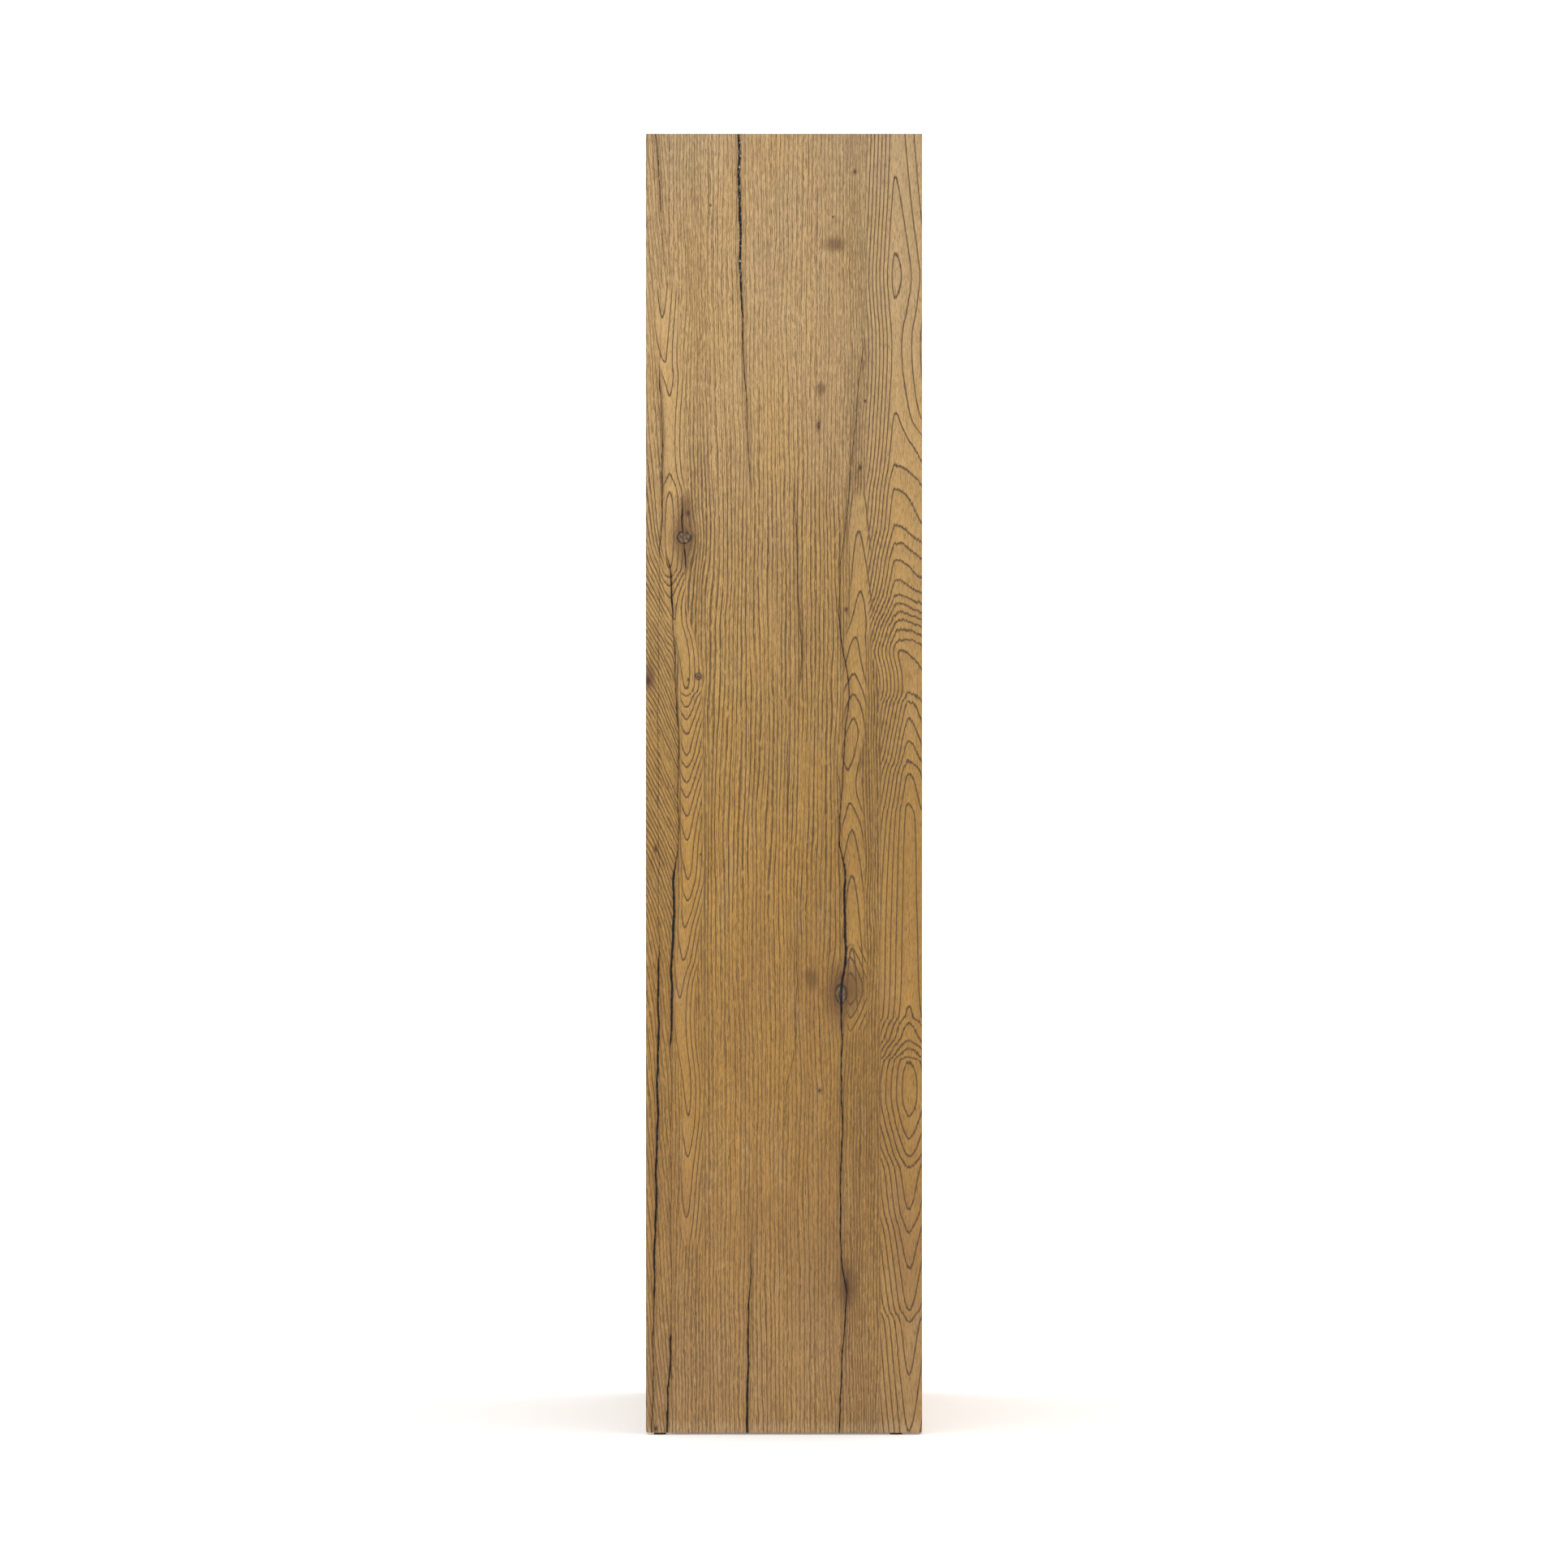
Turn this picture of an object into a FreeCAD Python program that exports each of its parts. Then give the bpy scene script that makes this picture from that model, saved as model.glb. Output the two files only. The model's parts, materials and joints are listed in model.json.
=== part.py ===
import FreeCAD, Part
import math
import os

from FreeCAD import Placement, Rotation, Vector

# A tall free-standing pantry cabinet in millimetres. The front faces -Y, the top is +Z and the origin
# is on the floor under the middle of the case. Two tall inset doors turn on pivot hinges above two wide
# inset drawers. The sides run from the floor to the top and from the front to the back, and meet the
# top board in mitres, so that nothing shows on the outside of a side but the oak itself.

# Overall
overall_width = 1016.0
overall_depth = 457.0
overall_height = 2153.0

# Board thicknesses
case_board = 25.0
deck_board = 25.0
partition_board = 22.0
stile_board = 18.0
shelf_board = 20.0
door_board = 25.0
front_board = 25.0
box_board = 15.0
box_bottom_board = 9.0
back_board = 8.0
plinth_board = 18.0
rail_board = 18.0

# Case
foot_lift = 3.0
plinth_height = 70.0
plinth_setback = 40.0
drawer_bay_height = 535.0
stile_width = 90.0
rail_height = 80.0
back_lap = 10.0
back_clearance = 0.5
bottom_corner_ease = 3.5
arris_radius = 1.2
shelf_count = 4
shelf_clearance = 1.5
shelf_setback = 6.0

# Doors and drawer fronts: a thin finger lip stands in front of a groove
hinge_gap = 3.0
pivot_gap = 2.0
stop_gap = 1.5
channel_width = 22.0
finger_gap = 20.0
front_gap = 3.0
lip_board = 9.0
groove_width = 18.0
groove_radius = 6.0

# Pivot hinges
pivot_inset = 16.0
pivot_depth = 8.0
leaf_width = 12.0
leaf_length = 48.0
leaf_thickness = 3.0
leaf_fit = 0.1
leaf_screw_steps = (18.0, 36.0)
leaf_screw_length = 20.0
pin_radius = 3.0
pin_running = 0.05
pin_end_room = 0.2

# Magnetic catches
magnet_radius = 5.0
magnet_length = 6.0
strike_radius = 6.5
strike_thickness = 1.2
strike_screw_length = 12.0
catch_inset = 120.0
catch_from_groove = 8.0

# Drawer boxes
box_rise = 20.0
box_drop = 5.0
box_back_room = 9.0
bottom_groove = 5.0
bottom_rise = 12.0
groove_fit = 0.2
front_screw_length = 25.0
corner_screw_length = 40.0
corner_screw_inset = 30.0

# Slides: three nested steel channels a side, with room for balls between them
slide_space = 12.7
slide_steel = 1.2
slide_start = 1.0
slide_end_room = 2.0
slide_rise = 90.0
slide_half_height = 22.5
slide_ball = 3.2
case_member_reach = 9.5
middle_member_start = 3.0
middle_member_reach = 10.5
drawer_member_start = 5.4
slide_screw_length = 14.0
slide_screw_inset = 40.0
slide_screws_deep = 3

# Screws, dowels and splines
screw_shank = 1.75
screw_head = 3.5
screw_recess = 1.3
hole_fit = 0.05
dowel_radius = 4.0
dowel_length = 36.0
dowel_in_case = 13.0
dowel_inset = 60.0
dowel_end_room = 1.0
dowels_deep = 3
spline_thickness = 4.0
spline_width = 16.0
spline_inset = 30.0
spline_fit = 0.1
back_screw_length = 25.0
back_screw_pitch = 250.0
screws_across = 4
screws_span = 0.75

# Shelf pins and the rows of holes for them
pin_row_pitch = 32.0
pin_row_inset = 40.0
pin_row_reach = 2
pin_hole_radius = 2.5
pin_hole_depth = 10.0
pin_stud_length = 9.0
pin_flange_radius = 4.5
pin_flange = 1.5
pin_tab_length = 12.0
pin_tab_width = 7.0
pin_tab = 3.0

# Levelling feet and the wall fixing
foot_from_plinth = 17.0
foot_flats = 20.0
foot_plate = 2.6
stud_radius = 4.0
stud_length = 30.0
stud_running = 0.05
insert_radius = 5.5
insert_length = 22.0
wall_hole_radius = 3.0
wall_hole_spacing = 406.0

# Places worked out from the sizes above
half_width = overall_width / 2
front_y = -overall_depth / 2
back_y = overall_depth / 2
case_back_y = back_y - back_board
inner_x = half_width - case_board
edge_x = inner_x + back_lap / 2
deck_z = foot_lift + plinth_height
bay_floor_z = deck_z + deck_board
mid_deck_z = bay_floor_z + drawer_bay_height
door_floor_z = mid_deck_z + deck_board
ceiling_z = overall_height - case_board
rail_z = ceiling_z - rail_height
plinth_front_y = front_y + plinth_setback
plinth_back_y = case_back_y - plinth_board
door_z = door_floor_z + pivot_gap
door_height = ceiling_z - door_floor_z - 2 * pivot_gap
door_width = inner_x - hinge_gap - channel_width / 2
stile_y = front_y + door_board + stop_gap
partition_y = stile_y + stile_board
shelf_y = partition_y + shelf_setback
pivot_x = -inner_x + pivot_inset
pivot_y = front_y + pivot_depth
front_height = (drawer_bay_height - front_gap - 2 * finger_gap) / 2
front_half_width = inner_x - front_gap
box_height = front_height - box_rise - box_drop
box_half_width = inner_x - slide_space
box_front_y = front_y + front_board
box_y = box_front_y + box_board
box_back_y = case_back_y - box_back_room
slide_y = box_y + slide_start
slide_length = box_back_y - slide_end_room - slide_y
middle_half_height = slide_half_height - slide_steel - slide_ball
drawer_half_height = middle_half_height - slide_steel - slide_ball

up = Vector(0, 0, 1)
down = Vector(0, 0, -1)
right = Vector(1, 0, 0)
left = Vector(-1, 0, 0)
forward = Vector(0, -1, 0)
backward = Vector(0, 1, 0)


def block(x0, x1, y0, y1, z0, z1):
    return Part.makeBox(x1 - x0, y1 - y0, z1 - z0, Vector(x0, y0, z0))


def rod(radius, start, direction, length):
    return Part.makeCylinder(radius, length, start, direction)


def flat(points):
    return Part.Face(Part.makePolygon(points + points[:1]))


def group(solids):
    return Part.makeCompound(list(solids))


def hexagon(reach):
    turns = [math.radians(60 * step) for step in range(6)]
    return flat([Vector(reach * math.cos(turn), reach * math.sin(turn), 0) for turn in turns])


def moved(shape, step):
    copy = shape.copy()
    copy.translate(step)
    return copy


def turned_to(shape, place, direction):
    """A shape drawn along -Z from the origin, moved to a place and turned to point in a direction."""
    copy = shape.copy()
    copy.Placement = Placement(place, Rotation(down, direction))
    return copy


def mirrored(shape):
    return shape.mirror(Vector(0, 0, 0), right)


def both_sides(solids):
    return list(solids) + [mirrored(solid) for solid in solids]


def near(a, b):
    return abs(a - b) < 1e-4


def eased(shape, radius, wanted):
    """Rounds the edges that pass a test of the edge and its middle."""
    return shape.makeFillet(radius, [edge for edge in shape.Edges if wanted(edge, edge.CenterOfMass)])


def eased_front(board, y):
    """Takes the sharp arris off the four edges of a board's front."""
    return eased(board, arris_radius, lambda edge, middle: near(middle.y, y))


def spread(low, high, count):
    """Evenly spaced places from low to high, both included."""
    return [low + (high - low) * step / (count - 1) for step in range(count)]


# Screws. Each place is the middle of the head's face, and the way that the screw points.


def screw(length):
    outline = [Vector(0, 0, 0), Vector(screw_head, 0, 0), Vector(screw_shank, 0, screw_shank - screw_head),
               Vector(screw_shank, 0, screw_shank - length), Vector(0, 0, -length)]
    recess = hexagon(screw_recess).extrude(down * screw_recess)
    return flat(outline).revolve(Vector(0, 0, 0), up, 360).cut(recess)


def screw_hole(length):
    head = screw_head + hole_fit
    shank = screw_shank + hole_fit
    tip = -length - hole_fit
    outline = [Vector(0, 0, 0), Vector(head, 0, 0), Vector(shank, 0, shank - head),
               Vector(shank, 0, tip), Vector(0, 0, tip)]
    return flat(outline).revolve(Vector(0, 0, 0), up, 360)


def screws(length, places):
    return [turned_to(screw(length), place, direction) for place, direction in places]


def screw_holes(length, places):
    return [turned_to(screw_hole(length), place, direction) for place, direction in places]


def screw_columns():
    return spread(-screws_span * inner_x, screws_span * inner_x, screws_across)


def back_screw_places():
    """Screws through the back into the sides, plinth, decks, partition, rail and top."""
    gap = rail_z - deck_z - deck_board
    rows = spread(foot_lift + plinth_height / 2, rail_z - deck_board, round(gap / back_screw_pitch) + 1)
    places = [(side * edge_x, z) for z in rows for side in (-1, 1)]
    levels = (foot_lift + plinth_height / 2, deck_z + deck_board / 2, mid_deck_z + deck_board / 2,
              ceiling_z - rail_height / 4, ceiling_z + back_lap / 2)
    places += [(x, z) for z in levels for x in screw_columns()]
    places += [(0, z) for z in spread(door_floor_z + rail_height, rail_z - rail_height, screws_across)]
    return [(Vector(x, back_y, z), forward) for x, z in places]


def back_screw_holes():
    return screw_holes(back_screw_length, back_screw_places())


def back_screws():
    return group(screws(back_screw_length, back_screw_places()))


# Dowels and splines


def dowel_places():
    """Each joint face that a dowel crosses, and the way into the case board that it enters."""
    depths = spread(front_y + dowel_inset, case_back_y - dowel_inset, dowels_deep)
    joints = [(y, level + deck_board / 2) for level in (deck_z, mid_deck_z) for y in depths]
    plinth_levels = (foot_lift + plinth_height / 4, deck_z - plinth_height / 4)
    for y in (plinth_front_y, plinth_back_y):
        joints += [(y + plinth_board / 2, z) for z in plinth_levels]
    rail_y = case_back_y - rail_board / 2
    joints += [(rail_y, ceiling_z - rail_height / 4), (rail_y, rail_z + rail_height / 4)]
    places = [(Vector(inner_x, y, z), right) for y, z in joints]
    places += [(Vector(-inner_x, y, z), left) for y, z in joints]
    for y in spread(partition_y + dowel_inset, case_back_y - dowel_inset, dowels_deep):
        places += [(Vector(0, y, ceiling_z), up), (Vector(0, y, door_floor_z), down)]
    return places


def case_dowels():
    tail = dowel_length - dowel_in_case
    return group(rod(dowel_radius, place - way * tail, way, dowel_length) for place, way in dowel_places())


def dowel_holes():
    tail = dowel_length - dowel_in_case + dowel_end_room
    length = dowel_length + 2 * dowel_end_room
    return [rod(dowel_radius + hole_fit, place - way * tail, way, length) for place, way in dowel_places()]


def mitre_spline(fit):
    """The loose tongue square across the right-hand mitre."""
    width = spline_width + 2 * fit
    thickness = spline_thickness + 2 * fit
    run = overall_depth - back_board - 2 * spline_inset + 2 * fit
    tongue = Part.makeBox(width, run, thickness, Vector(-width / 2, -run / 2, -thickness / 2))
    middle = Vector(inner_x + case_board / 2, -back_board / 2, ceiling_z + case_board / 2)
    tongue.Placement = Placement(middle, Rotation(backward, 45))
    return tongue


# Shelves, their pins and the rows of holes


def shelf_heights():
    """The undersides of the shelves, which leave equal spaces between the mid deck and the top."""
    step = (ceiling_z - door_floor_z + shelf_board) / (shelf_count + 1)
    return [door_floor_z + step * number - shelf_board for number in range(1, shelf_count + 1)]


def shelf(underside):
    """A loose shelf of the right-hand bay."""
    board = block(partition_board / 2 + shelf_clearance, inner_x - shelf_clearance,
                  shelf_y, case_back_y - shelf_clearance, underside, underside + shelf_board)
    return eased_front(board, shelf_y)


def pin_places():
    """The stud's place on each wall of the right-hand bay, and the way into that wall."""
    depths = (shelf_y + pin_row_inset, case_back_y - pin_row_inset)
    return [(Vector(x, y, z - pin_flange_radius), way) for z in shelf_heights() for y in depths
            for x, way in ((inner_x, right), (partition_board / 2, left))]


def pin_holes():
    steps = range(-pin_row_reach, pin_row_reach + 1)
    holes = [rod(pin_hole_radius, place + up * step * pin_row_pitch, way, pin_hole_depth)
             for place, way in pin_places() for step in steps]
    return both_sides(holes)


def shelf_pin():
    """A steel spoon pin in a wall at x = 0: a stud, a flange and a tab that carries the shelf."""
    half_tab = pin_tab_width / 2
    stud = rod(pin_hole_radius - hole_fit, Vector(0, 0, 0), right, pin_stud_length)
    flange = rod(pin_flange_radius, Vector(0, 0, 0), left, pin_flange)
    neck = block(-pin_flange, 0, -half_tab, half_tab, 0, pin_flange_radius)
    tab = block(-pin_tab_length, 0, -half_tab, half_tab, pin_flange_radius - pin_tab, pin_flange_radius)
    return stud.fuse([flange, neck, tab]).removeSplitter()


def shelf_pins():
    forms = {right.x: shelf_pin(), left.x: mirrored(shelf_pin())}
    return group(both_sides([moved(forms[way.x], place) for place, way in pin_places()]))


# Case boards


def back_rebate():
    reach = inner_x + back_lap
    return block(-reach, reach, case_back_y, back_y + back_lap, 0, ceiling_z + back_lap)


def side_panel():
    """The right side: mitred at the top, rebated for the back and eased at its bottom corners."""
    outline = [Vector(inner_x, front_y, foot_lift), Vector(half_width, front_y, foot_lift),
               Vector(half_width, front_y, overall_height), Vector(inner_x, front_y, ceiling_z)]
    board = flat(outline).extrude(backward * overall_depth)
    board = eased(board, bottom_corner_ease,
                  lambda edge, middle: near(middle.z, foot_lift) and near(abs(middle.y), back_y))
    board = eased(board, arris_radius, lambda edge, middle: near(middle.x, half_width)
                  and near(abs(middle.y), back_y) and edge.Length > overall_height / 2)
    holes = dowel_holes() + pin_holes() + back_screw_holes() + insert_holes()
    holes += screw_holes(slide_screw_length, case_slide_screw_places())
    return board.cut([back_rebate(), mitre_spline(spline_fit)] + holes)


def top_panel():
    outline = [Vector(-inner_x, front_y, ceiling_z), Vector(inner_x, front_y, ceiling_z),
               Vector(half_width, front_y, overall_height), Vector(-half_width, front_y, overall_height)]
    board = flat(outline).extrude(backward * overall_depth)
    board = eased(board, arris_radius, lambda edge, middle: near(middle.z, overall_height)
                  and near(abs(middle.y), back_y))
    grooves = both_sides([mitre_spline(spline_fit)] + leaf_seat(ceiling_z, up))
    return board.cut([back_rebate()] + grooves + dowel_holes() + back_screw_holes())


def deck(level):
    """A fixed board between the sides, flush with their front edges."""
    board = block(-inner_x, inner_x, front_y, case_back_y, level, level + deck_board)
    return eased_front(board, front_y).cut(dowel_holes() + back_screw_holes())


def mid_deck():
    return deck(mid_deck_z).cut(both_sides(leaf_seat(door_floor_z, down)))


def centre_partition():
    """The board between the two bays, notched round the rail at its top back corner."""
    half = partition_board / 2
    board = block(-half, half, partition_y, case_back_y, door_floor_z, ceiling_z)
    notch = block(-partition_board, partition_board, case_back_y - rail_board, back_y, rail_z, overall_height)
    return board.cut([notch] + dowel_holes() + pin_holes() + back_screw_holes())


def centre_stile():
    half = stile_width / 2
    board = block(-half, half, stile_y, partition_y, door_floor_z, ceiling_z)
    board = eased(board, arris_radius, lambda edge, middle: near(middle.y, stile_y)
                  and near(abs(middle.x), half))
    return board.cut(both_sides(magnets(hole_fit)))


def plinth(y):
    board = block(-inner_x, inner_x, y, y + plinth_board, foot_lift, deck_z)
    return board.cut(dowel_holes() + back_screw_holes())


def back_panel():
    reach = inner_x + back_lap - back_clearance
    top = ceiling_z + back_lap - back_clearance
    board = block(-reach, reach, case_back_y, back_y, foot_lift, top)
    return board.cut(wall_fixing_holes() + back_screw_holes())


def wall_rail():
    """The solid rail behind the top of the back, which takes the two screws into the wall."""
    board = block(-inner_x, inner_x, case_back_y - rail_board, case_back_y, rail_z, ceiling_z)
    return board.cut(wall_fixing_holes() + dowel_holes() + back_screw_holes())


def wall_fixing_holes():
    return both_sides([rod(wall_hole_radius, Vector(wall_hole_spacing / 2, 0, rail_z + rail_height / 2),
                           backward, overall_depth)])


# Doors


def lipped_profile(width, board):
    """A board's section in X and Y with its show face at y = 0 and its plain edge at x = 0. At the far
    edge a thin lip carries on in front of a groove, which turns into the lip in a quarter circle."""
    foot = width - groove_width
    bend = groove_radius * (1 - math.sqrt(0.5))
    start = Vector(foot + groove_radius, lip_board, 0)
    end = Vector(foot, lip_board + groove_radius, 0)
    corner = Part.Arc(start, Vector(foot + bend, lip_board + bend, 0), end)
    points = [end, Vector(foot, board, 0), Vector(0, board, 0), Vector(0, 0, 0),
              Vector(width, 0, 0), Vector(width, lip_board, 0), start]
    lines = [Part.LineSegment(a, b).toShape() for a, b in zip(points, points[1:])]
    return Part.Face(Part.Wire([corner.toShape()] + lines))


def door_left():
    board = lipped_profile(door_width, door_board).extrude(up * door_height)
    board = moved(board, Vector(-inner_x + hinge_gap, front_y, door_z))
    seats = leaf_seat(door_z, up) + leaf_seat(door_z + door_height, down)
    return eased_front(board, front_y).cut(seats + screw_holes(strike_screw_length, strike_screw_places()))


def leaf(face_z, way, fit):
    """A round-ended plate on the left pivot, let into a board one way from the level of its face."""
    half = leaf_width / 2 + fit
    low = min(face_z, face_z + way.z * leaf_thickness)
    far_x = pivot_x + leaf_length
    bar = block(pivot_x, far_x, pivot_y - half, pivot_y + half, low, low + leaf_thickness)
    ends = [rod(half, Vector(x, pivot_y, low), up, leaf_thickness) for x in (pivot_x, far_x)]
    return bar.fuse(ends).removeSplitter()


def leaf_screw_places(face_z, way):
    return [(Vector(pivot_x + step, pivot_y, face_z), way) for step in leaf_screw_steps]


def leaf_holes(face_z, way):
    return screw_holes(leaf_screw_length, leaf_screw_places(face_z, way))


def leaf_screws(face_z, way):
    return screws(leaf_screw_length, leaf_screw_places(face_z, way))


def leaf_seat(face_z, way):
    return [leaf(face_z, way, leaf_fit)] + leaf_holes(face_z, way)


def pin_bore(low, high):
    return rod(pin_radius + pin_running, Vector(pivot_x, pivot_y, low), up, high - low)


def case_leaf(face_z, way):
    """The leaf in the top or the mid deck, bored for the pin."""
    bore = pin_bore(face_z - leaf_thickness, face_z + leaf_thickness)
    return leaf(face_z, way, 0).cut([bore] + leaf_holes(face_z, way))


def door_leaf(face_z, way):
    """The leaf in the door's end, with the pin that stands out of it."""
    reach = leaf_thickness / 2 + pivot_gap + leaf_thickness - pin_end_room
    pin = rod(pin_radius, Vector(pivot_x, pivot_y, face_z) + way * (leaf_thickness / 2), way * -1, reach)
    return leaf(face_z, way, 0).cut(leaf_holes(face_z, way)).fuse(pin).removeSplitter()


def pivot_case_leaves():
    return group(both_sides([case_leaf(ceiling_z, up), case_leaf(door_floor_z, down)]))


def pivot_case_screws():
    return group(both_sides(leaf_screws(ceiling_z, up) + leaf_screws(door_floor_z, down)))


def pivot_washers():
    rings = [rod(leaf_width / 2, Vector(pivot_x, pivot_y, z), up, pivot_gap).cut(pin_bore(z, z + pivot_gap))
             for z in (door_floor_z, ceiling_z - pivot_gap)]
    return group(both_sides(rings))


def door_leaves():
    return group([door_leaf(door_z, up), door_leaf(door_z + door_height, down)])


def door_screws():
    leaves = leaf_screws(door_z, up) + leaf_screws(door_z + door_height, down)
    return group(leaves + screws(strike_screw_length, strike_screw_places()))


# Catches: a disc magnet in the stile and a thin steel disc screwed to the door's back


def catch_places():
    x = -channel_width / 2 - groove_width - catch_from_groove
    return [(x, door_z + catch_inset), (x, door_z + door_height - catch_inset)]


def magnets(fit):
    return [rod(magnet_radius + fit, Vector(x, stile_y, z), backward, magnet_length)
            for x, z in catch_places()]


def strike_screw_places():
    y = front_y + door_board + strike_thickness
    return [(Vector(x, y, z), forward) for x, z in catch_places()]


def strike_plates():
    holes = screw_holes(strike_screw_length, strike_screw_places())
    discs = [rod(strike_radius, Vector(x, front_y + door_board, z), backward, strike_thickness)
             for x, z in catch_places()]
    return group(disc.cut(holes) for disc in discs)


# Drawers. The one at floor_z is known by the underside of its front.


def drawer_floors():
    lower = bay_floor_z + front_gap
    return {"lower": lower, "upper": lower + front_height + finger_gap}


def front_screw_places(floor_z):
    """Screws from inside the box into the back of the show front."""
    rows = (floor_z + front_height / 4, floor_z + front_height * 3 / 4)
    return [(Vector(x, box_y, z), forward) for x in screw_columns() for z in rows]


def corner_screw_places(floor_z):
    """Screws through the box front and the box sides into the end grain, at the right-hand corners."""
    low = floor_z + box_rise + corner_screw_inset
    high = floor_z + box_rise + box_height - corner_screw_inset
    middle = box_half_width - box_board / 2
    fronts = [(Vector(middle, box_front_y, z), backward) for z in (low, high)]
    return fronts + [(Vector(box_half_width, box_back_y - box_board / 2, z), left) for z in (low, high)]


def slide_screw_depths():
    return spread(slide_y + slide_screw_inset, slide_y + slide_length - slide_screw_inset, slide_screws_deep)


def case_slide_screw_places():
    levels = [floor_z + box_rise + slide_rise for floor_z in drawer_floors().values()]
    return [(Vector(inner_x - slide_steel, y, z), right) for z in levels for y in slide_screw_depths()]


def box_slide_screw_places(floor_z):
    z = floor_z + box_rise + slide_rise
    return [(Vector(box_half_width + slide_steel, y, z), left) for y in slide_screw_depths()]


def box_screw_holes(floor_z):
    fronts = screw_holes(front_screw_length, front_screw_places(floor_z))
    corners = screw_holes(corner_screw_length, corner_screw_places(floor_z))
    slides = screw_holes(slide_screw_length, box_slide_screw_places(floor_z))
    return fronts + both_sides(corners + slides)


def box_screws(floor_z):
    fronts = screws(front_screw_length, front_screw_places(floor_z))
    corners = screws(corner_screw_length, corner_screw_places(floor_z))
    slides = screws(slide_screw_length, box_slide_screw_places(floor_z))
    return group(fronts + both_sides(corners + slides))


def drawer_front(floor_z):
    """The show front, its section turned so that the lip stands at the top."""
    board = lipped_profile(front_height, front_board).extrude(up * 2 * front_half_width)
    board.Placement = Placement(Vector(front_half_width, front_y, floor_z), Rotation(backward, -90))
    return eased_front(board, front_y).cut(box_screw_holes(floor_z))


def bottom_slot(floor_z):
    """The groove round the inside of the box that holds its bottom."""
    half = box_half_width - box_board + bottom_groove
    z = floor_z + box_rise + bottom_rise
    return block(-half, half, box_y - bottom_groove, box_back_y - box_board + bottom_groove,
                 z, z + box_bottom_board + groove_fit)


def box_front(floor_z):
    """As wide as the show front, and high enough to close the finger gap above it."""
    top = floor_z + front_height + finger_gap - front_gap
    board = block(-front_half_width, front_half_width, box_front_y, box_y, floor_z + box_rise, top)
    return board.cut([bottom_slot(floor_z)] + box_screw_holes(floor_z))


def box_back(floor_z):
    half = box_half_width - box_board
    low = floor_z + box_rise
    board = block(-half, half, box_back_y - box_board, box_back_y, low, low + box_height)
    return board.cut([bottom_slot(floor_z)] + box_screw_holes(floor_z))


def box_side(floor_z):
    low = floor_z + box_rise
    board = block(box_half_width - box_board, box_half_width, box_y, box_back_y, low, low + box_height)
    return board.cut([bottom_slot(floor_z)] + box_screw_holes(floor_z))


def box_bottom(floor_z):
    half = box_half_width - box_board + bottom_groove - groove_fit
    reach = bottom_groove - groove_fit
    z = floor_z + box_rise + bottom_rise
    return block(-half, half, box_y - reach, box_back_y - box_board + reach, z, z + box_bottom_board)


def slide_member(floor_z, web, tip, half_height):
    """A steel channel at the right-hand wall. Its web and the tips of its flanges are measured from it."""
    z = floor_z + box_rise + slide_rise
    near_x = inner_x - min(web, tip)
    far_x = inner_x - max(web, tip)
    steel = block(far_x, near_x, slide_y, slide_y + slide_length, z - half_height, z + half_height)
    inset = slide_steel if web < tip else -slide_steel
    hollow = block(far_x - inset, near_x - inset, box_y, slide_y + slide_length + slide_start,
                   z - half_height + slide_steel, z + half_height - slide_steel)
    return steel.cut(hollow)


def slide_case_members():
    holes = screw_holes(slide_screw_length, case_slide_screw_places())
    members = [slide_member(floor_z, 0, case_member_reach, slide_half_height)
               for floor_z in drawer_floors().values()]
    return group(both_sides([member.cut(holes) for member in members]))


def slide_middle_members(floor_z):
    return group(both_sides([slide_member(floor_z, middle_member_start, middle_member_reach,
                                          middle_half_height)]))


def slide_drawer_members(floor_z):
    member = slide_member(floor_z, slide_space, drawer_member_start, drawer_half_height)
    holes = screw_holes(slide_screw_length, box_slide_screw_places(floor_z))
    return group(both_sides([member.cut(holes)]))


# Levelling feet


def foot_places():
    x = half_width - case_board / 2
    depths = {"front": plinth_front_y - foot_from_plinth, "back": plinth_back_y - foot_from_plinth}
    return {f"{depth}_{side}": Vector(sign * x, y, 0)
            for depth, y in depths.items() for side, sign in (("left", -1), ("right", 1))}


def levelling_foot(place):
    """A hexagonal foot on its threaded stud, turned with a spanner."""
    plate = hexagon(foot_flats / math.sqrt(3)).extrude(up * foot_plate)
    stud = rod(stud_radius, Vector(0, 0, 0), up, foot_lift + stud_length)
    return moved(plate.fuse(stud).removeSplitter(), place)


def foot_inserts():
    places = foot_places().values()
    tubes = [rod(insert_radius, place + up * foot_lift, up, insert_length) for place in places]
    bores = [rod(stud_radius + stud_running, place, up, foot_lift + insert_length) for place in places]
    return group(tube.cut(bores) for tube in tubes)


def insert_holes():
    """The insert's hole, and the narrower one above it that leaves room for the stud."""
    places = foot_places().values()
    depth = foot_lift + stud_length + dowel_end_room
    inserts = [rod(insert_radius, place, up, foot_lift + insert_length) for place in places]
    return inserts + [rod(stud_radius + stud_running, place, up, depth) for place in places]


# Every piece by its node's name


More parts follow.
